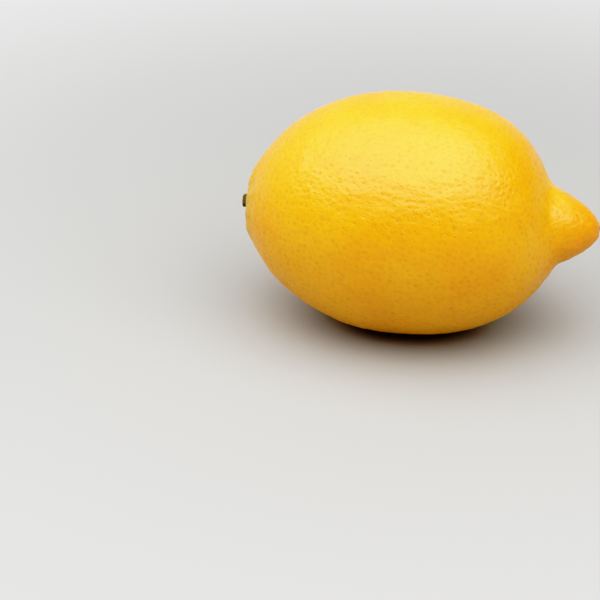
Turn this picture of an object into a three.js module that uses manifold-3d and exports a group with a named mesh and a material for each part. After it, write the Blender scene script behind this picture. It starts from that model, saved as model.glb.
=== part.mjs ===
// A whole lemon, lying on its side as picked, with its calyx button still in the stem end.
//
// Units are millimetres and +Z is up. The long axis runs along X: the stem end with the calyx
// points to -X and the nipple points to +X. The origin is on the surface that the fruit lies on,
// below the middle of its bounding box.
//
// The fruit is drawn in a frame of its own first, with the middle of its widest section at
// [0, 0, 0]. A point on the rind is named by its station along the axis and its turn round it;
// a turn of 0 points to +Y and a quarter turn points up.

import * as THREE from "three";
import { mergeVertices } from "three/addons/utils/BufferGeometryUtils.js";
import Module from "manifold-3d";

// ---- Driving dimensions ----

const girth = 60; // widest diameter
const stemReach = 38.6; // widest section to the stem end
const nippleReach = 48.5; // widest section to the tip of the nipple

// Widest section to where the body would close if it had no nipple. It runs further below.
const shoulderReach = { above: 36.6, below: 38.6 };

// Fullness of the two ends, where 2 is an ellipse and more is squarer.
const stemFullness = 1.96;
const shoulderFullness = 2.32;

// The nipple is a paraboloid: its radius squared is its bluntness times the distance from its tip.
const nippleBluntness = { above: 8.2, below: 9.0 };
const nippleLift = -0.5; // how far the tip stands above the axis
const nippleSway = -0.5; // and to the side of it
const nippleRoot = 18; // station where the nipple's form starts, well inside the body

// How softly the body runs into the nipple: nearly a crease above, an easy flare below.
const neckSoftness = { above: 1.3, below: 8 };
const neckRidges = { count: 7, turn: 0.9, height: 0.1, station: 36, spread: 6 };
const neckStation = 32;

// The pit where the flower's style fell off.
const styleScar = { radius: 1.5, depth: 0.5 };

// The stem end: a raised collar, puckered by furrows, round the seat of the calyx.
const collar = { radius: 7.6, width: 3.1, height: 0.85 };
const furrows = { count: 10, depth: 0.34, wander: 0.5, wanderCount: 3 };
const seat = { radius: 4.9, depth: 0.95, edge: 1.5 };

// Swelling of the segments under the rind, as shares of the radius.
const segmentLobes = [
  { count: 2, share: 0.0055, turn: 0.6 },
  { count: 3, share: 0.005, turn: 2.1 },
  { count: 5, share: 0.003, turn: 4.0 },
  { count: 10, share: 0.001, turn: 1.2 },
];

// Slow waves in the rind: each winds round the fruit as it runs along it.
const slowWaves = [
  { height: 0.07, along: 0.17, round: 2, turn: 1.1 },
  { height: 0.07, along: 0.1, round: 3, turn: 0.3 },
  { height: 0.05, along: 0.29, round: 1, turn: 0.4 },
];
// Where the fruit is slimmer than this share of its girth, ridges and waves die away.
const reliefFade = 0.25;

const restCut = 0.36; // depth of the flat spot that the fruit rests on

const calyxButton = {
  radius: 3.35, // the ring that the sepals are joined in
  sepals: 5,
  sepalReach: 1.6, // from the notches between the sepals out to their tips
  notch: 0.38, // share of that reach by which the ring is cut back between two sepals
  pointedness: 1.5, // 1 gives round sepals and more gives pointed ones
  thickness: 1.15,
  stalkRadius: 1.75, // the clipped stalk
  stalkHeight: 2.3, // from the seat to the rim of the clipped face
  stalkDish: 0.2, // how far the clipped face is sunk in its middle
  waist: 0.14, // how far the stalk draws in below its rim
  bevel: 0.16, // rounding of the stalk's rim and the sepals' edge
  clearance: 0.3, // between the button and its seat
};

// Steps of the grids.
const roundSteps = 64;
const stemCapSteps = 12;
const stemSideSteps = 17;
const shoulderSteps = 17;
const nippleSteps = 19;
const calyxRoundSteps = 50;

const mergeTolerance = 1e-4; // points nearer than this are one

// ---- Small tools ----

const widestRadius = girth / 2;
const quarterTurn = Math.PI / 2;

function smoothStep(low, high, value) {
  return THREE.MathUtils.smoothstep(value, low, high);
}

function bell(value, middle, width) {
  return Math.exp(-(((value - middle) / width) ** 2));
}

// The larger of two radii, with the corner between them filled over a band this soft.
function softMax(first, second, softness) {
  const overlap = Math.max(softness - Math.abs(first - second), 0) / softness;
  return Math.max(first, second) + (overlap * overlap * softness) / 4;
}

// Mixes a value above the axis with one below it, by the turn.
function aboveBelow(pair, turn) {
  return THREE.MathUtils.lerp(pair.below, pair.above, 0.5 + 0.5 * Math.sin(turn));
}

// ---- The rind ----

function bodyRadius(station, turn) {
  const reach = station < 0 ? stemReach : aboveBelow(shoulderReach, turn);
  const fullness = station < 0 ? stemFullness : shoulderFullness;
  const share = Math.abs(station) / reach;
  // Past its own end the body has no radius, so that the nipple alone is left.
  return share < 1 ? widestRadius * (1 - share ** fullness) ** (1 / fullness) : 0;
}

function nippleRadius(station, turn) {
  if (station < nippleRoot) return 0;
  const fromTip = Math.max(nippleReach - station, 0);
  return Math.sqrt(aboveBelow(nippleBluntness, turn) * fromTip);
}

function waveHeight(station, turn) {
  return slowWaves.reduce(
    (sum, wave) => sum + wave.height * Math.sin(wave.along * station + wave.round * turn + wave.turn),
    0,
  );
}

function ridgeHeight(station, turn) {
  const { count, height, spread } = neckRidges;
  return height * bell(station, neckRidges.station, spread) * Math.cos(count * turn + neckRidges.turn);
}

function rindRadius(station, turn) {
  const body = bodyRadius(station, turn);
  const nipple = nippleRadius(station, turn);
  // The flare dies away towards the tip, so that the nipple closes in a round end.
  const softness = Math.min(aboveBelow(neckSoftness, turn), nipple + body);
  const plain = softness > 0 ? softMax(body, nipple, softness) : 0;
  const swell = segmentLobes.reduce(
    (sum, lobe) => sum + lobe.share * Math.cos(lobe.count * turn + lobe.turn),
    1,
  );
  const fade = smoothStep(0, reliefFade, plain / widestRadius);
  const relief = waveHeight(station, turn) + ridgeHeight(station, turn);
  return plain * swell + relief * fade;
}

// How far a point near the tip moves along the axis, into the scar.
function tipShift(radius) {
  return -styleScar.depth * (1 - smoothStep(0, styleScar.radius, radius));
}

// How far a point near the stem end moves along the axis: out on the collar, in on the seat.
function stemShift(station, radius, turn) {
  const wander = furrows.wander * Math.sin(furrows.wanderCount * turn);
  const pucker = 0.5 - 0.5 * Math.cos(furrows.count * turn + wander);
  const height = collar.height - furrows.depth * pucker;
  const rise = height * bell(radius, collar.radius, collar.width);
  const inSeat = 1 - smoothStep(seat.radius - seat.edge, seat.radius + seat.edge, radius);
  // Within the seat the end's own dome is pressed flat.
  const dome = station + stemReach;
  return (seat.depth - dome) * inSeat - rise * (1 - inSeat);
}

function rindPoint(station, turn) {
  const radius = rindRadius(station, turn);
  const lean = smoothStep(neckStation - neckRidges.spread, nippleReach, station);
  let shift = 0;
  if (station < 0) shift = stemShift(station, radius, turn);
  if (station > neckStation) shift = tipShift(radius);
  return new THREE.Vector3(
    station + shift,
    radius * Math.cos(turn) + nippleSway * lean,
    radius * Math.sin(turn) + nippleLift * lean,
  );
}

// Stations from the stem end to the tip, closest where the form turns quickest.
function rindStations() {
  const capAngle = Math.asin((collar.radius + 2 * collar.width) / widestRadius);
  const shoulderAngle = 0.77 * quarterTurn;
  const tipCrowding = 1.7;
  const stations = [];
  for (let i = 0; i < stemCapSteps; i++) {
    stations.push(-stemReach * Math.cos((i / stemCapSteps) * capAngle));
  }
  for (let i = 0; i < stemSideSteps; i++) {
    const angle = THREE.MathUtils.lerp(capAngle, quarterTurn, i / stemSideSteps);
    stations.push(-stemReach * Math.cos(angle));
  }
  for (let i = 0; i < shoulderSteps; i++) {
    const angle = (i / shoulderSteps) * shoulderAngle;
    stations.push((neckStation * Math.sin(angle)) / Math.sin(shoulderAngle));
  }
  for (let i = 0; i <= nippleSteps; i++) {
    const left = (1 - i / nippleSteps) ** tipCrowding;
    stations.push(THREE.MathUtils.lerp(nippleReach, neckStation, left));
  }
  return stations;
}

// A closed skin over rows of points: the first and last rows are single points.
function closedSkin(rows) {
  const positions = rows.flat().flatMap((point) => point.toArray());
  const steps = rows[1].length;
  const lastRow = rows.length - 1;
  const rowStart = (row) => (row === 0 ? 0 : 1 + (row - 1) * steps);
  const indices = [];
  for (let j = 0; j < steps; j++) {
    const next = (j + 1) % steps;
    indices.push(0, rowStart(1) + next, rowStart(1) + j);
    indices.push(rowStart(lastRow), rowStart(lastRow - 1) + j, rowStart(lastRow - 1) + next);
    for (let row = 1; row < lastRow - 1; row++) {
      const here = rowStart(row);
      const there = rowStart(row + 1);
      indices.push(here + j, here + next, there + j);
      indices.push(here + next, there + next, there + j);
    }
  }
  const geometry = new THREE.BufferGeometry();
  geometry.setAttribute("position", new THREE.Float32BufferAttribute(positions, 3));
  geometry.setIndex(indices);
  return geometry;
}

function ring(steps, pointAt) {
  return Array.from({ length: steps }, (_, j) => pointAt((j / steps) * 2 * Math.PI));
}

function rindGeometry() {
  const stations = rindStations();
  const rows = stations.map((station) => ring(roundSteps, (turn) => rindPoint(station, turn)));
  rows[0] = [rindPoint(stations[0], 0)];
  rows[rows.length - 1] = [rindPoint(nippleReach, 0)];
  return closedSkin(rows);
}

// ---- The flat spot ----

const wasm = await Module();
wasm.setup();

function solidOf(geometry) {
  const plain = geometry.clone();
  plain.deleteAttribute("normal");
  plain.deleteAttribute("uv");
  const merged = mergeVertices(plain, mergeTolerance);
  return new wasm.Manifold(
    new wasm.Mesh({
      numProp: 3,
      vertProperties: merged.attributes.position.array,
      triVerts: new Uint32Array(merged.index.array),
    }),
  );
}

function geometryOf(solid) {
  const mesh = solid.getMesh();
  const geometry = new THREE.BufferGeometry();
  geometry.setAttribute("position", new THREE.BufferAttribute(mesh.vertProperties, 3));
  geometry.setIndex(new THREE.BufferAttribute(mesh.triVerts, 1));
  geometry.computeVertexNormals();
  return geometry;
}

// The fruit with its underside cut level, and the height of that cut.
function restingFruit() {
  const whole = rindGeometry();
  whole.computeBoundingBox();
  const level = whole.boundingBox.min.z + restCut;
  const below = new THREE.BoxGeometry(girth, girth, girth);
  below.translate(0, 0, level - girth / 2);
  return { geometry: geometryOf(solidOf(whole).subtract(solidOf(below))), level };
}

// ---- The calyx button ----

// Rows of [radius, height over the seat, share of the sepals' reach], from the middle of the
// clipped stalk, down it, out over the sepals, and back under them to the middle.
function calyxRows() {
  const { radius, thickness, stalkRadius, stalkHeight, stalkDish, waist, bevel } = calyxButton;
  const stalkFoot = stalkRadius + 2 * waist;
  return [
    [0, stalkHeight - stalkDish, 0],
    [stalkRadius * 0.6, stalkHeight - stalkDish / 2, 0],
    [stalkRadius - bevel, stalkHeight, 0],
    [stalkRadius, stalkHeight - bevel, 0],
    [stalkRadius - waist, (stalkHeight + thickness) / 2, 0],
    [stalkRadius, thickness + bevel, 0],
    [stalkFoot, thickness - bevel, 0],
    [radius * 0.68, thickness - bevel / 2, 0.1],
    [radius * 0.8, thickness, 0.3],
    [radius * 0.92, thickness - bevel, 0.6],
    [radius, thickness * 0.62, 0.9],
    [radius * 1.02, thickness * 0.34, 1],
    [radius * 0.96, 0, 0.9],
    [radius * 0.5, 0, 0.2],
    [0, 0, 0],
  ];
}

function calyxGeometry() {
  const { sepals, sepalReach, notch, pointedness } = calyxButton;
  const rows = calyxRows().map(([radius, height, share]) =>
    ring(calyxRoundSteps, (turn) => {
      // Pointed sepals with round notches between them.
      const tip = Math.abs(Math.cos((sepals * turn) / 2)) ** pointedness - notch;
      const reach = radius + share * sepalReach * tip;
      return new THREE.Vector3(-height, reach * Math.cos(turn), reach * Math.sin(turn));
    }),
  );
  rows[0] = [rows[0][0]];
  rows[rows.length - 1] = [rows[rows.length - 1][0]];
  return closedSkin(rows);
}

// ---- Assembly ----

function named(name, geometry, colour, roughness) {
  const material = new THREE.MeshStandardMaterial({ color: colour, roughness, metalness: 0 });
  const mesh = new THREE.Mesh(geometry, material);
  mesh.name = name;
  return mesh;
}

const lemon = new THREE.Group();
const resting = restingFruit();
const fruit = named("fruit", resting.geometry, "#f5c21b", 0.42);
const calyx = named("calyx", calyxGeometry(), "#6f6a35", 0.8);
calyx.position.x = -stemReach + seat.depth - calyxButton.clearance;
lemon.add(fruit, calyx);

// Moves the fruit's own frame so that the flat spot lies on z = 0 and the box is centred over
// the origin.
const box = new THREE.Box3().setFromObject(lemon, true);
const middle = box.getCenter(new THREE.Vector3());
for (const piece of [fruit, calyx]) {
  piece.position.x -= middle.x;
  piece.position.y -= middle.y;
  piece.position.z -= resting.level;
}

export default lemon;
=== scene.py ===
"""A whole lemon on its side: its rind with its oil glands, its calyx button, and a plain stage.

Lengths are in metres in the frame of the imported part: +Z is up, the stem end points to -X, the
nipple to +X, and the floor that the fruit lies on is at z = 0.
"""

import math
from contextlib import contextmanager
from random import Random

import bmesh
import bpy
from bpy.props import FloatProperty, FloatVectorProperty, IntProperty, PointerProperty
from mathutils import Matrix, Vector


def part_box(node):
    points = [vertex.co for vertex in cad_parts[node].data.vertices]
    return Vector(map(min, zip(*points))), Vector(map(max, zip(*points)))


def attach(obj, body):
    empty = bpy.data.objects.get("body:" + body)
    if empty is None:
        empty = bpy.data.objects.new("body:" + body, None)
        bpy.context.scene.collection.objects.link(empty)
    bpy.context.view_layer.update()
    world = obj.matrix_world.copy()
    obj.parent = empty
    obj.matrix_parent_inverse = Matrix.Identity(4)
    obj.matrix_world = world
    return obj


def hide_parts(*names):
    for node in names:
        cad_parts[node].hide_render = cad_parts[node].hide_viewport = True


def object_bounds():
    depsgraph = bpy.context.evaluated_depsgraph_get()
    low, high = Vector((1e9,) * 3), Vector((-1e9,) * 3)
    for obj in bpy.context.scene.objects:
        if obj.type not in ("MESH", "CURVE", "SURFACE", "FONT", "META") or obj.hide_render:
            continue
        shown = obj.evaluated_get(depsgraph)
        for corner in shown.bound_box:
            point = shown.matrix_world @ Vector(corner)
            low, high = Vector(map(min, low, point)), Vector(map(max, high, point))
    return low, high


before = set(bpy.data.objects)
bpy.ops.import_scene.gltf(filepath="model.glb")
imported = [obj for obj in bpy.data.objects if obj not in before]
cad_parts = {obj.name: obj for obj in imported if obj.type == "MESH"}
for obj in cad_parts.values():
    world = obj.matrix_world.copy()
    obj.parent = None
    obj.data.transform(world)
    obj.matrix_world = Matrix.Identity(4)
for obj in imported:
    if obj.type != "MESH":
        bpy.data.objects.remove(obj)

bl_info = {
    "name": "Whole Lemon",
    "version": (1, 0, 0),
    "blender": (4, 5, 0),
    "location": "3D View > Sidebar > Lemon",
    "description": "Grows a lemon's rind and calyx round a fixed frame, and sets a plain stage",
    "category": "Object",
}

CAD_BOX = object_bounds()

MM = 0.001
BODY = "root"
X_AXIS, Y_AXIS = Vector((1, 0, 0)), Vector((0, 1, 0))

# The input numbers of a Mix node that mixes colours, and of a Random Value node of floats.
MIX_FACTOR, MIX_A, MIX_B, MIX_RESULT = 0, 6, 7, 2
RANDOM_MIN, RANDOM_MAX, RANDOM_VALUE, RANDOM_ID = 2, 3, 1, 7


# ---- Where things are, read from the frame ----


def middle_of(box):
    low, high = box
    return (low + high) / 2


def end_of(node, side):
    """The middle of a node's furthest points along X. The side is 1 for +X and -1 for -X."""
    rim_depth = 0.3 * MM
    points = [vertex.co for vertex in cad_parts[node].data.vertices]
    furthest = max(side * point.x for point in points)
    rim = [point for point in points if side * point.x > furthest - rim_depth]
    return sum(rim, Vector()) / len(rim)


FRUIT_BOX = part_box("fruit")
CALYX_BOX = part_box("calyx")
CALYX_CLEARANCE = 0.3 * MM  # the frame holds the button this far off its seat
STALK_END = end_of("calyx", -1)
SEAT = Vector((CALYX_BOX[1].x + CALYX_CLEARANCE, STALK_END.y, STALK_END.z))
TIP = end_of("fruit", 1)


# ---- Small tools ----


def linear(hex_colour):
    """An sRGB colour such as "#F5C21B" as linear red, green and blue."""
    channels = [int(hex_colour[i:i + 2], 16) / 255 for i in (1, 3, 5)]
    return [c / 12.92 if c <= 0.04045 else ((c + 0.055) / 1.055) ** 2.4 for c in channels]


def opaque(colour):
    """A colour with the full alpha that colour sockets ask for."""
    return (*colour, 1.0)


def add_node(tree, kind, inputs=None, **settings):
    """Adds a node with its settings. inputs maps a socket's name or number to a value, or to the
    output socket that is linked to it."""
    node = tree.nodes.new(kind)
    for name, value in settings.items():
        setattr(node, name, value)
    for key, value in (inputs or {}).items():
        if isinstance(value, bpy.types.NodeSocket):
            tree.links.new(value, node.inputs[key])
        else:
            node.inputs[key].default_value = value
    return node


def select_only(*pieces):
    bpy.ops.object.select_all(action="DESELECT")
    for piece in pieces:
        piece.select_set(True)
    bpy.context.view_layer.objects.active = pieces[0]


@contextmanager
def editing(piece):
    """Edit mode on one piece, with everything in it selected."""
    select_only(piece)
    bpy.ops.object.mode_set(mode="EDIT")
    bpy.ops.mesh.select_mode(type="VERT")
    bpy.ops.mesh.select_all(action="SELECT")
    yield
    bpy.ops.object.mode_set(mode="OBJECT")


def pick_points(piece, wanted):
    """In edit mode, selects just the vertices whose place passes a test."""
    mesh = bmesh.from_edit_mesh(piece.data)
    for vertex in mesh.verts:
        vertex.select_set(wanted(vertex.co))
    mesh.select_flush_mode()
    bmesh.update_edit_mesh(piece.data)


def settle(piece, name):
    """Names a new piece and puts its place, turn and size into its mesh."""
    select_only(piece)
    bpy.ops.object.transform_apply(location=True, rotation=True, scale=True)
    piece.name = name
    piece.data.name = name
    return piece


def apply_modifier(piece, kind, **settings):
    """Adds a modifier with its settings and applies it at once."""
    select_only(piece)
    bpy.ops.object.modifier_add(type=kind)
    modifier = piece.modifiers[-1]
    for name, value in settings.items():
        setattr(modifier, name, value)
    bpy.ops.object.modifier_apply(modifier=modifier.name)


def new_material(name, piece):
    """Puts a new, empty material on a piece, and gives its nodes."""
    material = bpy.data.materials.new(name)
    material.use_nodes = True
    material.node_tree.nodes.clear()
    piece.data.materials.clear()
    piece.data.materials.append(material)
    return material.node_tree


def new_mesh_nodes(name):
    """New geometry nodes that reshape a mesh, with the mesh, its places and its normals."""
    tree = bpy.data.node_groups.new(name, "GeometryNodeTree")
    tree.interface.new_socket("Geometry", in_out="INPUT", socket_type="NodeSocketGeometry")
    tree.interface.new_socket("Geometry", in_out="OUTPUT", socket_type="NodeSocketGeometry")
    start = add_node(tree, "NodeGroupInput").outputs[0]
    position = add_node(tree, "GeometryNodeInputPosition").outputs[0]
    normal = add_node(tree, "GeometryNodeInputNormal").outputs[0]
    return tree, start, position, normal


def raise_surface(tree, mesh, normal, height):
    """The mesh with each point moved along its normal by the height there."""
    offset = add_node(
        tree, "ShaderNodeVectorMath", {0: normal, "Scale": height}, operation="SCALE").outputs[0]
    return add_node(
        tree, "GeometryNodeSetPosition", {"Geometry": mesh, "Offset": offset}).outputs[0]


# ---- What patterns share ----


def rays(tree, place, foot, width, length, radius):
    """Places for a pattern of rays round the line along X through a foot: one ray is this wide at
    the radius and this long. The distance from the line comes with them."""
    from_foot = add_node(
        tree, "ShaderNodeVectorMath", {0: place, 1: foot}, operation="SUBTRACT").outputs[0]
    outward = add_node(
        tree, "ShaderNodeVectorMath", {0: from_foot, 1: (0.0, 1.0, 1.0)},
        operation="MULTIPLY").outputs[0]
    away = add_node(
        tree, "ShaderNodeVectorMath", {0: outward}, operation="LENGTH").outputs["Value"]
    way = add_node(
        tree, "ShaderNodeVectorMath", {0: outward}, operation="NORMALIZE").outputs[0]
    along = add_node(tree, "ShaderNodeMath", {0: away, 1: 1 / length}, operation="MULTIPLY")
    along = add_node(tree, "ShaderNodeCombineXYZ", {0: along.outputs[0]}).outputs[0]
    spread = radius / width
    places = add_node(
        tree, "ShaderNodeVectorMath", {0: way, 1: (spread, spread, spread), 2: along},
        operation="MULTIPLY_ADD").outputs[0]
    return places, away


def patches(tree, place, width, low, high, detail=2.0):
    """A mask of soft patches about this wide. It is 0 under the low level of a noise, and 1 over
    the high one."""
    noise = add_node(
        tree, "ShaderNodeTexNoise", {"Vector": place, "Scale": 1 / width, "Detail": detail})
    return add_node(
        tree, "ShaderNodeMapRange",
        {"Value": noise.outputs[0], "From Min": low, "From Max": high},
        interpolation_type="SMOOTHSTEP").outputs[0]


def around(tree, place, point, full, none):
    """A mask that is 1 nearer to a point than one distance, and fades to 0 at the other."""
    away = add_node(tree, "ShaderNodeVectorMath", {0: place, 1: point}, operation="DISTANCE")
    return add_node(
        tree, "ShaderNodeMapRange",
        {"Value": away.outputs["Value"], "From Min": full, "From Max": none,
         "To Min": 1.0, "To Max": 0.0},
        interpolation_type="SMOOTHSTEP").outputs[0]


def ragged(tree, place, width, reach):
    """Places that are pushed about by up to a reach, so that what is drawn on them has torn edges
    with teeth about this wide."""
    noise = add_node(
        tree, "ShaderNodeTexNoise", {"Vector": place, "Scale": 1 / width, "Detail": 2.0})
    push = add_node(
        tree, "ShaderNodeVectorMath", {0: noise.outputs["Color"], 1: (0.5, 0.5, 0.5)},
        operation="SUBTRACT")
    return add_node(
        tree, "ShaderNodeVectorMath",
        {0: push.outputs[0], 1: (2 * reach, 2 * reach, 2 * reach), 2: place},
        operation="MULTIPLY_ADD").outputs[0]


def paint(tree, ground, coats):
    """Lays coats over a ground colour. A coat is a mask, its strength and its colour."""
    colour = opaque(ground)
    for mask, strength, pigment in coats:
        cover = add_node(
            tree, "ShaderNodeMath", {0: mask, 1: strength}, operation="MULTIPLY", use_clamp=True)
        colour = add_node(
            tree, "ShaderNodeMix",
            {MIX_FACTOR: cover.outputs[0], MIX_A: colour, MIX_B: opaque(pigment)},
            data_type="RGBA").outputs[MIX_RESULT]
    return colour


# ---- Settings ----


class LemonRindSettings(bpy.types.PropertyGroup):
    """The rind's relief and colours."""

    gland_spacing: FloatProperty(
        name="Gland Spacing", description="Least distance between two oil glands",
        default=1.35 * MM, unit="LENGTH", subtype="DISTANCE", precision=5)
    gland_radius: FloatProperty(
        name="Gland Radius", description="Radius of the dimple over an oil gland",
        default=0.74 * MM, unit="LENGTH", subtype="DISTANCE", precision=5)
    gland_depth: FloatProperty(
        name="Gland Depth", description="Depth of the dimple over an oil gland",
        default=0.11 * MM, unit="LENGTH", subtype="DISTANCE", precision=6)
    swell_width: FloatProperty(
        name="Swell Width", description="Width of the low swellings between groups of glands",
        default=3.2 * MM, unit="LENGTH", subtype="DISTANCE", precision=5)
    swell_height: FloatProperty(
        name="Swell Height", description="Height of the low swellings",
        default=0.4 * MM, unit="LENGTH", subtype="DISTANCE", precision=6)
    furrow_width: FloatProperty(
        name="Furrow Width", description="Width of the furrows that run out from the calyx",
        default=1.8 * MM, unit="LENGTH", subtype="DISTANCE", precision=5)
    furrow_depth: FloatProperty(
        name="Furrow Depth", description="Depth of the furrows that run out from the calyx",
        default=0.55 * MM, unit="LENGTH", subtype="DISTANCE", precision=6)
    scar_reach: FloatProperty(
        name="Scar Reach", description="Distance from the tip over which the style's scar fades",
        default=2.5 * MM, unit="LENGTH", subtype="DISTANCE", precision=5)
    scar_depth: FloatProperty(
        name="Scar Depth", description="Depth of the pit that the style left",
        default=0.45 * MM, unit="LENGTH", subtype="DISTANCE", precision=6)
    seed: IntProperty(
        name="Seed", description="Picks another scatter of glands", default=7, min=0)
    rind_colour: FloatVectorProperty(
        name="Rind", description="Colour of the ripe rind between its glands",
        default=linear("#F0A60C"), subtype="COLOR", min=0, max=1)
    pale_colour: FloatVectorProperty(
        name="Pale Rind", description="Colour of the paler clouds in the rind",
        default=linear("#F2B016"), subtype="COLOR", min=0, max=1)
    gland_colour: FloatVectorProperty(
        name="Gland", description="Colour of the oil glands that show through the rind",
        default=linear("#D2960A"), subtype="COLOR", min=0, max=1)
    tip_colour: FloatVectorProperty(
        name="Tip", description="Deeper colour of the nipple's end",
        default=linear("#EE9A06"), subtype="COLOR", min=0, max=1)
    stem_colour: FloatVectorProperty(
        name="Stem End", description="Greener colour round the calyx",
        default=linear("#D2AC1A"), subtype="COLOR", min=0, max=1)
    cork_colour: FloatVectorProperty(
        name="Cork", description="Colour of healed marks and of the rim of the style's scar",
        default=linear("#B08648"), subtype="COLOR", min=0, max=1)
    scar_colour: FloatVectorProperty(
        name="Scar", description="Colour of the middle of the style's scar",
        default=linear("#4E3420"), subtype="COLOR", min=0, max=1)
    young_spacing: FloatProperty(
        name="Young Gland Spacing", description="Distance between the small glands",
        default=0.95 * MM, unit="LENGTH", subtype="DISTANCE", precision=5)
    mark_spacing: FloatProperty(
        name="Mark Spacing", description="Distance between small healed marks",
        default=15 * MM, unit="LENGTH", subtype="DISTANCE", precision=4)


class LemonCalyxSettings(bpy.types.PropertyGroup):
    """The calyx button's form and colours."""

    sepals: IntProperty(name="Sepals", description="Number of sepals", default=5, min=3, max=8)
    stalk_radius: FloatProperty(
        name="Stalk Radius", description="Radius of the clipped stalk",
        default=1.72 * MM, unit="LENGTH", subtype="DISTANCE", precision=5)
    sepal_colour: FloatVectorProperty(
        name="Sepal", description="Colour of the dried sepals",
        default=linear("#6C6438"), subtype="COLOR", min=0, max=1)
    dry_colour: FloatVectorProperty(
        name="Dry Tissue", description="Colour of the sepals' driest parts",
        default=linear("#9A8258"), subtype="COLOR", min=0, max=1)
    dark_colour: FloatVectorProperty(
        name="Dark Tissue", description="Colour of veins, creases and the pith",
        default=linear("#40331F"), subtype="COLOR", min=0, max=1)
    wood_colour: FloatVectorProperty(
        name="Cut Stalk", description="Colour of the clipped face of the stalk",
        default=linear("#C2AA78"), subtype="COLOR", min=0, max=1)
    seed: IntProperty(name="Seed", description="Picks other sepals", default=3, min=0)


class LemonStageSettings(bpy.types.PropertyGroup):
    """The camera, the light and the floor."""

    azimuth: FloatProperty(
        name="Azimuth", description="Turn of the camera round the fruit, from the front",
        default=math.radians(10.4), unit="ROTATION", subtype="ANGLE")
    elevation: FloatProperty(
        name="Elevation", description="Height of the camera above the horizon",
        default=math.radians(28), unit="ROTATION", subtype="ANGLE")
    distance: FloatProperty(
        name="Distance", description="From the camera to the fruit",
        default=480 * MM, unit="LENGTH", subtype="DISTANCE")
    lens: FloatProperty(
        name="Lens", description="Focal length in millimetres", default=117, min=1)
    aim_left: FloatProperty(
        name="Aim Left", description="How far left of the fruit's middle the camera looks",
        default=29.1 * MM, unit="LENGTH", subtype="DISTANCE")
    aim_down: FloatProperty(
        name="Aim Down", description="How far below the fruit's middle the camera looks",
        default=21.5 * MM, unit="LENGTH", subtype="DISTANCE")
    softbox_size: FloatVectorProperty(
        name="Softbox Size", description="Width and depth of the softbox overhead",
        default=(1.9, 0.9), size=2, unit="LENGTH")
    softbox_place: FloatVectorProperty(
        name="Softbox Place", description="Where the softbox hangs, level, over the fruit",
        default=(0.0, -0.17, 0.38), unit="LENGTH", subtype="TRANSLATION")
    softbox_power: FloatProperty(
        name="Softbox Power", description="Light of the softbox in watts", default=11.8, min=0)
    floor_colour: FloatVectorProperty(
        name="Floor", description="Colour of the floor",
        default=linear("#B4B4B2"), subtype="COLOR", min=0, max=1)


# ---- Camera ----


class LEMON_OT_set_camera(bpy.types.Operator):
    """Stand the camera in front of the fruit, a little to its right and above it"""

    bl_idname = "lemon.set_camera"
    bl_label = "Set Camera"

    def execute(self, context):
        stage = context.scene.lemon_stage
        back = Vector((
            math.sin(stage.azimuth) * math.cos(stage.elevation),
            -math.cos(stage.azimuth) * math.cos(stage.elevation),
            math.sin(stage.elevation)))
        turn = (-back).to_track_quat("-Z", "Y")
        right, up = turn @ X_AXIS, turn @ Y_AXIS
        aim = middle_of(CAD_BOX) - right * stage.aim_left - up * stage.aim_down
        bpy.ops.object.camera_add(location=aim + back * stage.distance, rotation=turn.to_euler())
        camera = context.active_object
        camera.name = "camera"
        camera.data.lens = stage.lens
        camera.data.dof.use_dof = False
        context.scene.camera = camera
        return {"FINISHED"}


# ---- Rind ----


def smooth_form():
    """A merged, rounded copy of the fruit's solid, to press the new skin onto."""
    weld_distance, joined_up_to = 0.005 * MM, math.radians(60)
    select_only(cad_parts["fruit"])
    bpy.ops.object.duplicate()
    form = bpy.context.active_object
    form.parent = None
    form.name = "form"
    with editing(form):
        bpy.ops.mesh.remove_doubles(threshold=weld_distance)
        bpy.ops.mesh.tris_convert_to_quads(
            face_threshold=joined_up_to, shape_threshold=joined_up_to)
    apply_modifier(form, "SUBSURF", levels=2, render_levels=2)
    return form


def press_onto(skin, form):
    """Moves each point of the skin to the nearest place on the form."""
    apply_modifier(skin, "SHRINKWRAP", target=form, wrap_method="NEAREST_SURFACEPOINT")


def even_skin(form):
    """A closed skin of even four-sided faces over the form."""
    coarse_cuts, relax_rounds, fine_levels = 31, 36, 2
    low, high = FRUIT_BOX
    bpy.ops.mesh.primitive_cube_add(size=1, location=middle_of(FRUIT_BOX))
    skin = bpy.context.active_object
    with editing(skin):
        bpy.ops.mesh.subdivide(number_cuts=coarse_cuts)
        bpy.ops.transform.tosphere(value=1)
    skin.dimensions = high - low
    settle(skin, "rind")
    for _ in range(relax_rounds):
        press_onto(skin, form)
        apply_modifier(skin, "SMOOTH", factor=0.5, iterations=3)
    press_onto(skin, form)
    apply_modifier(skin, "SUBSURF", levels=fine_levels, render_levels=fine_levels)
    press_onto(skin, form)
    return skin


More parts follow.
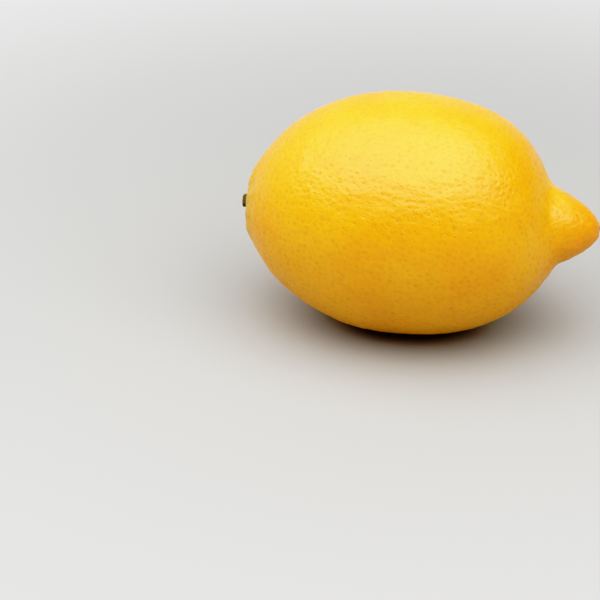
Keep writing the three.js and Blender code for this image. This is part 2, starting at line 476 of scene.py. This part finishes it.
def gland_depths(tree, skin, position, rind):
    """How deep each point lies in the dimple over its nearest oil gland. It is 0 outside the
    dimple, and the gland's size in its middle."""
    # Glands sit no closer than their spacing, so more points are offered than that lets in.
    offers_per_gland = 8
    smallest, largest = 0.62, 1.25  # sizes of glands, as shares of the usual one
    glands = add_node(
        tree, "GeometryNodeDistributePointsOnFaces",
        {"Mesh": skin, "Distance Min": rind.gland_spacing,
         "Density Max": offers_per_gland / rind.gland_spacing ** 2, "Seed": rind.seed},
        distribute_method="POISSON").outputs["Points"]
    nearest = add_node(
        tree, "GeometryNodeSampleNearest",
        {"Geometry": glands, "Sample Position": position}).outputs[0]
    centre = add_node(
        tree, "GeometryNodeSampleIndex",
        {"Geometry": glands, "Value": position, "Index": nearest},
        data_type="FLOAT_VECTOR").outputs[0]
    distance = add_node(
        tree, "ShaderNodeVectorMath", {0: position, 1: centre}, operation="DISTANCE").outputs[1]
    size = add_node(
        tree, "FunctionNodeRandomValue",
        {RANDOM_MIN: smallest, RANDOM_MAX: largest, RANDOM_ID: nearest, "Seed": rind.seed + 1},
        data_type="FLOAT").outputs[RANDOM_VALUE]
    reach = add_node(
        tree, "ShaderNodeMath", {0: size, 1: rind.gland_radius}, operation="MULTIPLY").outputs[0]
    dimple = add_node(
        tree, "ShaderNodeMapRange",
        {"Value": distance, "From Max": reach, "To Min": 1.0, "To Max": 0.0},
        interpolation_type="SMOOTHSTEP").outputs[0]
    dimple = add_node(
        tree, "ShaderNodeMath", {0: dimple, 1: size}, operation="MULTIPLY").outputs[0]
    # The seat of the calyx and the scar at the tip have no glands. They start at the first
    # distance and are full at the second.
    for middle, clear, full in ((SEAT, 3.5 * MM, 5 * MM), (TIP, 1.2 * MM, 2.5 * MM)):
        away = add_node(
            tree, "ShaderNodeVectorMath", {0: position, 1: middle}, operation="DISTANCE").outputs[1]
        share = add_node(
            tree, "ShaderNodeMapRange", {"Value": away, "From Min": clear, "From Max": full},
            interpolation_type="SMOOTHSTEP").outputs[0]
        dimple = add_node(
            tree, "ShaderNodeMath", {0: dimple, 1: share}, operation="MULTIPLY").outputs[0]
    return dimple


def swelling_height(tree, position, rind):
    """The low swellings between groups of glands, half of their height up and half down."""
    swell = add_node(
        tree, "ShaderNodeTexNoise",
        {"Vector": position, "Scale": 1 / rind.swell_width, "Detail": 2.0,
         "Roughness": 0.5}).outputs[0]
    return add_node(
        tree, "ShaderNodeMath", {0: swell, 1: rind.swell_height, 2: -rind.swell_height / 2},
        operation="MULTIPLY_ADD").outputs[0]


def with_furrows(tree, position, height, rind):
    """A height with furrows that run out from the seat, where the rind is drawn in to the
    stalk."""
    length, width_holds_at = 20 * MM, 8 * MM
    full_within, gone_past = 7 * MM, 15 * MM
    round_seat, _ = rays(tree, position, SEAT, rind.furrow_width, length, width_holds_at)
    here = patches(tree, round_seat, 1.0, 0.42, 0.72)
    near_seat = around(tree, position, SEAT, full_within, gone_past)
    furrow = add_node(
        tree, "ShaderNodeMath", {0: here, 1: near_seat}, operation="MULTIPLY").outputs[0]
    return add_node(
        tree, "ShaderNodeMath", {0: furrow, 1: -rind.furrow_depth, 2: height},
        operation="MULTIPLY_ADD").outputs[0]


def with_style_scar(tree, position, height, rind):
    """A height with the scar of the style at the tip. It is a pit with a low rim: a wave that
    fades out with the distance."""
    wave_turn = 1.5 * math.pi  # how far the wave runs over the scar's reach
    from_tip = add_node(
        tree, "ShaderNodeVectorMath", {0: position, 1: TIP}, operation="DISTANCE").outputs[1]
    share = add_node(
        tree, "ShaderNodeMapRange", {"Value": from_tip, "From Max": rind.scar_reach}).outputs[0]
    wave = add_node(
        tree, "ShaderNodeMath", {0: share, 1: wave_turn}, operation="MULTIPLY").outputs[0]
    wave = add_node(tree, "ShaderNodeMath", {0: wave}, operation="COSINE").outputs[0]
    fade = add_node(
        tree, "ShaderNodeMath", {0: share, 1: rind.scar_depth, 2: -rind.scar_depth},
        operation="MULTIPLY_ADD").outputs[0]
    return add_node(
        tree, "ShaderNodeMath", {0: wave, 1: fade, 2: height}, operation="MULTIPLY_ADD").outputs[0]


def rind_relief(rind):
    """Geometry nodes that give a skin the rind's relief, and keep each point's depth in a dimple
    as the attribute "gland"."""
    tree, skin, position, normal = new_mesh_nodes("rind_relief")
    dimple = gland_depths(tree, skin, position, rind)
    kept = add_node(
        tree, "GeometryNodeStoreNamedAttribute",
        {"Geometry": skin, "Name": "gland", "Value": dimple},
        data_type="FLOAT", domain="POINT").outputs[0]
    height = add_node(
        tree, "ShaderNodeMath",
        {0: dimple, 1: -rind.gland_depth, 2: swelling_height(tree, position, rind)},
        operation="MULTIPLY_ADD").outputs[0]
    height = with_furrows(tree, position, height, rind)
    height = with_style_scar(tree, position, height, rind)
    raised = raise_surface(tree, kept, normal, height)
    # Nothing sinks into the floor. The limits for X and Y lie far outside the fruit.
    above_floor = add_node(
        tree, "ShaderNodeVectorMath", {0: position, 1: (-1.0, -1.0, 0.0)},
        operation="MAXIMUM").outputs[0]
    end = add_node(
        tree, "GeometryNodeSetPosition", {"Geometry": raised, "Position": above_floor}).outputs[0]
    add_node(tree, "NodeGroupOutput", {0: end})
    return tree


def cover_with_rind(piece, rind):
    """Waxed citrus rind. It grew as a thin skin full of round oil glands under a smooth wax: it
    is glossy but soft, each gland shows as a darker dot in a dimple, and light that goes in comes
    out again nearby, which warms the shaded side."""
    tree = new_material("waxed_citrus_rind", piece)
    place = add_node(tree, "ShaderNodeTexCoord").outputs["Object"]
    torn = ragged(tree, place, 0.9 * MM, 0.45 * MM)
    cracked = ragged(tree, place, 0.45 * MM, 0.3 * MM)
    gland = add_node(tree, "ShaderNodeAttribute", attribute_name="gland").outputs["Fac"]

    # Between the large glands lie small ones, which are pits in the shading alone. Distances from
    # their middles, and from those of the marks below, are shares of their spacing.
    pit_bottom, pit_edge = 0.12, 0.42
    young = add_node(
        tree, "ShaderNodeTexVoronoi", {"Vector": place, "Scale": 1 / rind.young_spacing},
        feature="F1").outputs["Distance"]
    young = add_node(
        tree, "ShaderNodeMapRange",
        {"Value": young, "From Min": pit_bottom, "From Max": pit_edge,
         "To Min": 1.0, "To Max": 0.0},
        interpolation_type="SMOOTHSTEP").outputs[0]

    # Where leaves and thorns have rubbed the fruit, it has small corky marks.
    mark_middle, mark_edge = 0.01, 0.05
    rubbed = add_node(
        tree, "ShaderNodeTexVoronoi", {"Vector": torn, "Scale": 1 / rind.mark_spacing},
        feature="F1").outputs["Distance"]
    marks = add_node(
        tree, "ShaderNodeMapRange",
        {"Value": rubbed, "From Min": mark_middle, "From Max": mark_edge,
         "To Min": 1.0, "To Max": 0.0},
        interpolation_type="SMOOTHSTEP").outputs[0]

    colour = paint(tree, rind.rind_colour, (
        (patches(tree, place, 16 * MM, 0.35, 0.65), 1.0, rind.pale_colour),
        (patches(tree, place, 1.6 * MM, 0.35, 0.7), 0.35, rind.pale_colour),
        (around(tree, place, TIP, 3 * MM, 18 * MM), 0.85, rind.tip_colour),
        (around(tree, place, SEAT, 5 * MM, 17 * MM), patches(tree, place, 5 * MM, 0.2, 0.6),
         rind.stem_colour),
        (young, 0.24, rind.gland_colour),
        (gland, 0.48, rind.gland_colour),
        (marks, 0.35, rind.cork_colour),
        (around(tree, cracked, TIP, 1.1 * MM, 1.5 * MM), 0.85, rind.cork_colour),
        (around(tree, cracked, TIP, 0.35 * MM, 0.75 * MM), 0.9, rind.scar_colour)))

    # The wax is duller in some patches and in the dimples.
    glossiest, patches_add, dimples_add = 0.33, 0.09, 0.08
    dull = patches(tree, place, 7 * MM, 0.3, 0.7)
    roughness = add_node(
        tree, "ShaderNodeMath", {0: dull, 1: patches_add, 2: glossiest},
        operation="MULTIPLY_ADD").outputs[0]
    roughness = add_node(
        tree, "ShaderNodeMath", {0: gland, 1: dimples_add, 2: roughness},
        operation="MULTIPLY_ADD").outputs[0]

    # Cells under the wax break the gloss up. Real ones are too fine to see, so these are coarser.
    cell_width = 0.45 * MM
    cells = add_node(
        tree, "ShaderNodeTexNoise", {"Vector": place, "Scale": 1 / cell_width, "Detail": 3.0})
    height = add_node(
        tree, "ShaderNodeMath", {0: young, 1: -1.0, 2: cells.outputs[0]},
        operation="MULTIPLY_ADD").outputs[0]
    bump = add_node(
        tree, "ShaderNodeBump",
        {"Strength": 0.9, "Distance": 0.06 * MM, "Height": height}).outputs[0]

    skin = add_node(
        tree, "ShaderNodeBsdfPrincipled",
        {"Base Color": colour, "Roughness": roughness, "Normal": bump, "IOR": 1.52,
         "Specular IOR Level": 0.65, "Subsurface Weight": 0.3,
         "Subsurface Radius": (1.0, 0.42, 0.06), "Subsurface Scale": 1.5 * MM})
    add_node(tree, "ShaderNodeOutputMaterial", {"Surface": skin.outputs[0]})


class LEMON_OT_grow_rind(bpy.types.Operator):
    """Grow the rind over the fruit, with its oil glands, and give it its colours"""

    bl_idname = "lemon.grow_rind"
    bl_label = "Grow Rind"

    def execute(self, context):
        rind = context.scene.lemon_rind
        form = smooth_form()
        skin = even_skin(form)
        bpy.data.objects.remove(form)
        apply_modifier(skin, "NODES", node_group=rind_relief(rind))
        select_only(skin)
        bpy.ops.object.shade_smooth()
        cover_with_rind(skin, rind)
        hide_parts("fruit")
        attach(skin, BODY)
        return {"FINISHED"}


# ---- Calyx ----

# The outline of one sepal, from its root out: share of the reach, half width and how far the
# middle of the sepal stands off the seat, in millimetres.
SEPAL_ROWS = (
    (0.20, 1.00, 1.00), (0.38, 1.22, 0.95), (0.55, 1.28, 0.78), (0.70, 1.12, 0.60),
    (0.82, 0.80, 0.48), (0.92, 0.44, 0.44), (1.00, 0.10, 0.50))

# The stalk and the disc at its foot: height over the seat and radius, in millimetres. The radii
# are drawn for this stalk radius, and scale with the one that is set.
DRAWN_STALK_RADIUS = 1.72
STALK_RINGS = (
    (0.00, 2.60), (0.45, 2.55), (0.80, 2.40), (1.02, 2.15), (1.16, 1.92), (1.35, 1.72),
    (1.70, 1.60), (2.05, 1.66), (2.20, 1.74), (2.29, 1.66))


def grow_sepal(reach, turn, lift, width, curl):
    """One dried sepal: a strip that is shaped row by row, thickened and laid out from the axis.
    It reaches this far and is turned round the axis. The lift of its tip and the curl of its
    sides are in millimetres, and its width is a share of the usual one."""
    last, points_across, thickness = len(SEPAL_ROWS) - 1, 5, 0.5 * MM
    sides_from, midrib_within, midrib_height = 0.42 * MM, 0.05 * MM, 0.16 * MM
    column_slack = 0.01
    set_aside = 1.0  # shaped rows are kept this far below, where no later pick finds them
    bpy.ops.mesh.primitive_grid_add(
        x_subdivisions=last, y_subdivisions=points_across - 1, size=1)
    sepal = bpy.context.active_object
    with editing(sepal):
        # The grid's columns become the rows: the first at the root and the last at the tip.
        for i, (share, half_width, stand) in enumerate(SEPAL_ROWS):
            column = i / last - 0.5
            pick_points(
                sepal, lambda co: abs(co.x - column) < column_slack and co.z > -set_aside / 2)
            bpy.ops.transform.resize(
                value=(1, 2 * half_width * width * MM, 1), center_override=(0, 0, 0))
            height = (stand + lift * share ** 2) * MM
            bpy.ops.transform.translate(value=(share * reach - column, 0, -set_aside + height))
        bpy.ops.mesh.select_all(action="SELECT")
        bpy.ops.transform.translate(value=(0, 0, set_aside))
        # Its sides curl up off the rind or down to it, and its midrib stands up.
        pick_points(sepal, lambda co: abs(co.y) > sides_from)
        bpy.ops.transform.translate(value=(0, 0, curl * MM))
        pick_points(sepal, lambda co: abs(co.y) < midrib_within)
        bpy.ops.transform.translate(value=(0, 0, midrib_height))
    apply_modifier(sepal, "SOLIDIFY", thickness=thickness, offset=-1)
    apply_modifier(sepal, "SUBSURF", levels=2, render_levels=2)
    # Its own X points out from the axis and its own Z out of the fruit.
    stand_up = Matrix(((0, 0, -1), (0, 1, 0), (1, 0, 0))).to_4x4()
    sepal.matrix_world = (
        Matrix.Translation(SEAT) @ Matrix.Rotation(turn, 4, "X") @ stand_up)
    return settle(sepal, "sepal")


def grow_stalk(stalk_radius):
    """The clipped stalk on its disc: a ring that is drawn out of the seat and closed by its cut."""
    points_round = 36
    size = stalk_radius / (DRAWN_STALK_RADIUS * MM)
    height, radius = STALK_RINGS[0]
    bpy.ops.mesh.primitive_circle_add(
        vertices=points_round, radius=size * radius * MM, fill_type="NGON",
        location=SEAT - X_AXIS * height * MM, rotation=(0, -math.pi / 2, 0))
    stalk = settle(bpy.context.active_object, "stalk")
    with editing(stalk):
        for next_height, next_radius in STALK_RINGS[1:]:
            bpy.ops.mesh.extrude_region_move(
                TRANSFORM_OT_translate={"value": (-(next_height - height) * MM, 0, 0)})
            middle = SEAT - X_AXIS * next_height * MM
            scale = next_radius / radius
            bpy.ops.transform.resize(value=(1, scale, scale), center_override=middle)
            height, radius = next_height, next_radius
        # The cut face is sunk where its pith has dried.
        for thickness, depth in ((0.35, 0.02), (0.5, 0.12), (0.4, 0.16)):
            bpy.ops.mesh.inset(thickness=thickness * MM, depth=-depth * MM)
    apply_modifier(stalk, "SUBSURF", levels=1, render_levels=1)
    return stalk


def wrinkles(seed):
    """Geometry nodes that raise a dried surface in fine wrinkles, half up and half down."""
    height, width = 0.28 * MM, 0.7 * MM
    tree, start, position, normal = new_mesh_nodes("wrinkles")
    noise = add_node(
        tree, "ShaderNodeTexNoise",
        {"Vector": position, "W": float(seed), "Scale": 1 / width, "Detail": 3.0},
        noise_dimensions="4D").outputs[0]
    rise = add_node(
        tree, "ShaderNodeMath", {0: noise, 1: height, 2: -height / 2},
        operation="MULTIPLY_ADD").outputs[0]
    add_node(tree, "NodeGroupOutput", {0: raise_surface(tree, start, normal, rise)})
    return tree


def cover_with_dried_calyx(piece, calyx):
    """Dried calyx. The sepals were green leaf tissue that shrank onto the fruit and browned from
    their edges in, so they are matt and dull, with veins that run out from the stalk. The stalk
    was clipped across, so its face shows pale wood with rays, round a dark pith and in a ring of
    bark."""
    tree = new_material("dried_calyx", piece)
    place = add_node(tree, "ShaderNodeTexCoord").outputs["Object"]
    torn = ragged(tree, place, 0.8 * MM, 0.3 * MM)

    # Veins run out from the stalk, and are 0.35 mm wide at 2.5 mm from its axis.
    round_stalk, out = rays(tree, torn, SEAT, 0.35 * MM, 3 * MM, 2.5 * MM)
    veins = patches(tree, round_stalk, 1.0, 0.35, 0.65)
    over_seat = add_node(
        tree, "ShaderNodeVectorMath", {0: torn, 1: SEAT}, operation="SUBTRACT").outputs[0]
    over_seat = add_node(tree, "ShaderNodeSeparateXYZ", {0: over_seat}).outputs["X"]

    green_within, dry_past = 2.6 * MM, 4.4 * MM
    edge = add_node(
        tree, "ShaderNodeMapRange", {"Value": out, "From Min": green_within, "From Max": dry_past},
        interpolation_type="SMOOTHSTEP").outputs[0]
    sepals = paint(tree, calyx.sepal_colour, (
        (patches(tree, torn, 1.8 * MM, 0.4, 0.7), 0.5, calyx.dry_colour),
        (edge, 0.75, calyx.dry_colour),
        (veins, 0.35, calyx.dark_colour),
        (patches(tree, place, 0.4 * MM, 0.5, 0.75), 0.4, calyx.dark_colour)))

    # The clipped face is dark pith, pale wood and then bark. Their radii follow the stalk's.
    pith_radius, wood_radius = 0.2 * calyx.stalk_radius, 0.88 * calyx.stalk_radius
    bark_from = 1.08 * wood_radius
    pith = add_node(
        tree, "ShaderNodeMapRange",
        {"Value": out, "From Min": pith_radius, "From Max": 2 * pith_radius,
         "To Min": 1.0, "To Max": 0.0},
        interpolation_type="SMOOTHSTEP").outputs[0]
    wood = paint(tree, calyx.wood_colour, (
        (veins, 0.35, calyx.dry_colour),
        (pith, 0.7, calyx.dark_colour)))
    face_height, side_height = 2.0 * MM, 1.85 * MM
    on_top = add_node(
        tree, "ShaderNodeMapRange",
        {"Value": over_seat, "From Min": -face_height, "From Max": -side_height,
         "To Min": 1.0, "To Max": 0.0}).outputs[0]
    within_bark = add_node(
        tree, "ShaderNodeMapRange",
        {"Value": out, "From Min": wood_radius, "From Max": bark_from,
         "To Min": 1.0, "To Max": 0.0},
        interpolation_type="SMOOTHSTEP").outputs[0]
    clipped = add_node(
        tree, "ShaderNodeMath", {0: on_top, 1: within_bark}, operation="MULTIPLY").outputs[0]
    colour = add_node(
        tree, "ShaderNodeMix", {MIX_FACTOR: clipped, MIX_A: sepals, MIX_B: wood},
        data_type="RGBA").outputs[MIX_RESULT]

    grain_width = 0.3 * MM
    grain = add_node(
        tree, "ShaderNodeTexNoise", {"Vector": place, "Scale": 1 / grain_width, "Detail": 3.0})
    height = add_node(
        tree, "ShaderNodeMath", {0: veins, 1: -1.0, 2: grain.outputs[0]},
        operation="MULTIPLY_ADD").outputs[0]
    bump = add_node(
        tree, "ShaderNodeBump",
        {"Strength": 0.7, "Distance": 0.06 * MM, "Height": height}).outputs[0]
    tissue = add_node(
        tree, "ShaderNodeBsdfPrincipled",
        {"Base Color": colour, "Roughness": 0.8, "Normal": bump, "Specular IOR Level": 0.3})
    add_node(tree, "ShaderNodeOutputMaterial", {"Surface": tissue.outputs[0]})


class LEMON_OT_grow_calyx(bpy.types.Operator):
    """Grow the calyx button in its seat: dried sepals round a clipped stalk"""

    bl_idname = "lemon.grow_calyx"
    bl_label = "Grow Calyx"

    def execute(self, context):
        calyx = context.scene.lemon_calyx
        random = Random(calyx.seed)
        reach = (CALYX_BOX[1].z - CALYX_BOX[0].z) / 2
        parts = [grow_stalk(calyx.stalk_radius)]
        for i in range(calyx.sepals):
            turn = (i + random.uniform(-0.12, 0.12)) / calyx.sepals * 2 * math.pi
            parts.append(grow_sepal(
                reach=reach * random.uniform(0.93, 1.06), turn=turn,
                lift=random.uniform(-0.1, 0.7), width=random.uniform(0.9, 1.1),
                curl=random.uniform(-0.25, 0.3)))
        select_only(*parts)
        bpy.ops.object.join()
        piece = settle(context.active_object, "calyx_button")
        # The stalk and the sepals grow together into one closed skin.
        apply_modifier(piece, "REMESH", mode="VOXEL", voxel_size=0.1 * MM)
        apply_modifier(piece, "SMOOTH", factor=0.5, iterations=3)
        apply_modifier(piece, "NODES", node_group=wrinkles(calyx.seed))
        select_only(piece)
        bpy.ops.object.shade_smooth()
        cover_with_dried_calyx(piece, calyx)
        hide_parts("calyx")
        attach(piece, BODY)
        return {"FINISHED"}


# ---- Stage ----


# The tone curve that the render is developed with: light from the scene and light in the render.
# It deepens the shade, and rolls the brightest parts off before they clip.
TONES = (
    (0.0, 0.0), (0.04, 0.006), (0.12, 0.08), (0.27, 0.25), (0.54, 0.58), (0.8, 0.8),
    (1.1, 0.935), (1.5, 0.98), (2.4, 1.0))


def develop(view):
    """Sets the tone curve of the render."""
    view.view_transform = "Standard"
    view.look = "None"
    view.use_curve_mapping = True
    curves = view.curve_mapping
    brightest = TONES[-1][0]
    curves.white_level = (brightest, brightest, brightest)
    all_channels = curves.curves[3]  # the first three are red, green and blue
    for seen, shown in TONES[1:-1]:
        all_channels.points.new(seen / brightest, shown)
    curves.update()


def lay_paper(floor, colour):
    """Matt paper. It is pressed from fibres, so it scatters evenly and has no gloss. Lamps of its
    own light it far from the fruit, where it fades into the white of the room."""
    fade_start, fade_end = 50 * MM, 400 * MM
    tree = new_material("matt_paper_sweep", floor)
    paper = add_node(
        tree, "ShaderNodeBsdfPrincipled",
        {"Base Color": opaque(colour), "Roughness": 0.9, "Specular IOR Level": 0.1})
    lit_far = add_node(tree, "ShaderNodeEmission", {"Strength": 1.0})
    place = add_node(tree, "ShaderNodeTexCoord").outputs["Object"]
    away = add_node(
        tree, "ShaderNodeVectorMath", {0: place}, operation="LENGTH").outputs["Value"]
    fade = add_node(
        tree, "ShaderNodeMapRange", {"Value": away, "From Min": fade_start, "From Max": fade_end},
        interpolation_type="SMOOTHSTEP").outputs[0]
    sweep = add_node(
        tree, "ShaderNodeMixShader", {0: fade, 1: paper.outputs[0], 2: lit_far.outputs[0]})
    add_node(tree, "ShaderNodeOutputMaterial", {"Surface": sweep.outputs[0]})


def soften_edge(lamp):
    """Dims a lamp's face towards its edge, as the cloth of a softbox does."""
    # Places on the face run from 0 to 1, so its edge is half away from its middle.
    middle, edge = (0.5, 0.5, 0.0), 0.5
    full_within = 0.35 * edge
    lamp.use_nodes = True
    tree = lamp.node_tree
    tree.nodes.clear()
    face = add_node(tree, "ShaderNodeNewGeometry").outputs["Parametric"]
    from_middle = add_node(
        tree, "ShaderNodeVectorMath", {0: face, 1: middle}, operation="DISTANCE")
    strength = add_node(
        tree, "ShaderNodeMapRange",
        {"Value": from_middle.outputs["Value"], "From Min": full_within, "From Max": edge,
         "To Min": 1.0, "To Max": 0.0},
        interpolation_type="SMOOTHSTEP").outputs[0]
    light = add_node(tree, "ShaderNodeEmission", {"Strength": strength})
    add_node(tree, "ShaderNodeOutputLight", {"Surface": light.outputs[0]})


def hang_softbox(stage):
    """A level, oval softbox over the fruit, which the camera doesn't see."""
    bpy.ops.object.light_add(type="AREA", location=stage.softbox_place)
    softbox = bpy.context.active_object
    softbox.name = "softbox"
    softbox.data.shape = "ELLIPSE"
    softbox.data.size, softbox.data.size_y = stage.softbox_size
    softbox.data.energy = stage.softbox_power
    softbox.visible_camera = False
    soften_edge(softbox.data)


def light_room(scene):
    """A pale wall behind the fruit and to its left, in a room that is dim elsewhere. The camera
    sees the whole room as white."""
    to_wall = (-0.45, 0.89, 0.0)
    wall_starts, wall_full = 0.1, 0.8  # how nearly a direction has to point to the wall
    dim, wall_light, white = 0.05, 0.68, 1.0
    world = bpy.data.worlds.new("room")
    scene.world = world
    world.use_nodes = True
    tree = world.node_tree
    tree.nodes.clear()
    direction = add_node(tree, "ShaderNodeTexCoord").outputs["Generated"]
    facing = add_node(
        tree, "ShaderNodeVectorMath", {0: direction, 1: to_wall},
        operation="DOT_PRODUCT").outputs["Value"]
    wall = add_node(
        tree, "ShaderNodeMapRange",
        {"Value": facing, "From Min": wall_starts, "From Max": wall_full,
         "To Min": dim, "To Max": wall_light},
        interpolation_type="SMOOTHSTEP").outputs[0]
    seen = add_node(tree, "ShaderNodeLightPath").outputs["Is Camera Ray"]
    strength = add_node(
        tree, "ShaderNodeMapRange", {"Value": seen, "To Min": wall, "To Max": white}).outputs[0]
    room = add_node(
        tree, "ShaderNodeBackground", {"Color": (1.0, 1.0, 1.0, 1.0), "Strength": strength})
    add_node(tree, "ShaderNodeOutputWorld", {"Surface": room.outputs[0]})


class LEMON_OT_set_stage(bpy.types.Operator):
    """Lay the floor, hang the softbox and light the room"""

    bl_idname = "lemon.set_stage"
    bl_label = "Set Stage"

    def execute(self, context):
        stage = context.scene.lemon_stage
        floor_side = 16.0
        bpy.ops.mesh.primitive_plane_add(size=floor_side, location=(0, 0, 0))
        floor = settle(context.active_object, "floor")
        lay_paper(floor, stage.floor_colour)
        hang_softbox(stage)
        light_room(context.scene)
        develop(context.scene.view_settings)
        return {"FINISHED"}


# ---- Panel and start ----


class LEMON_PT_panel(bpy.types.Panel):
    """Lists the lemon's pieces and their settings"""

    bl_idname = "LEMON_PT_panel"
    bl_label = "Whole Lemon"
    bl_space_type = "VIEW_3D"
    bl_region_type = "UI"
    bl_category = "Lemon"

    def draw(self, context):
        scene = context.scene
        for step, settings in (
                ("lemon.set_camera", None), ("lemon.grow_rind", scene.lemon_rind),
                ("lemon.grow_calyx", scene.lemon_calyx), ("lemon.set_stage", scene.lemon_stage)):
            box = self.layout.box()
            box.operator(step)
            for name in settings.__annotations__ if settings else ():
                box.prop(settings, name)


CLASSES = (
    LemonRindSettings, LemonCalyxSettings, LemonStageSettings,
    LEMON_OT_set_camera, LEMON_OT_grow_rind, LEMON_OT_grow_calyx, LEMON_OT_set_stage,
    LEMON_PT_panel)


def register():
    for cls in CLASSES:
        bpy.utils.register_class(cls)
    bpy.types.Scene.lemon_rind = PointerProperty(type=LemonRindSettings)
    bpy.types.Scene.lemon_calyx = PointerProperty(type=LemonCalyxSettings)
    bpy.types.Scene.lemon_stage = PointerProperty(type=LemonStageSettings)


def unregister():
    del bpy.types.Scene.lemon_stage
    del bpy.types.Scene.lemon_calyx
    del bpy.types.Scene.lemon_rind
    for cls in reversed(CLASSES):
        bpy.utils.unregister_class(cls)


def main():
    register()
    bpy.ops.lemon.set_camera()
    bpy.ops.lemon.grow_rind()
    bpy.ops.lemon.grow_calyx()
    bpy.ops.lemon.set_stage()


if __name__ == "__main__":
    main()
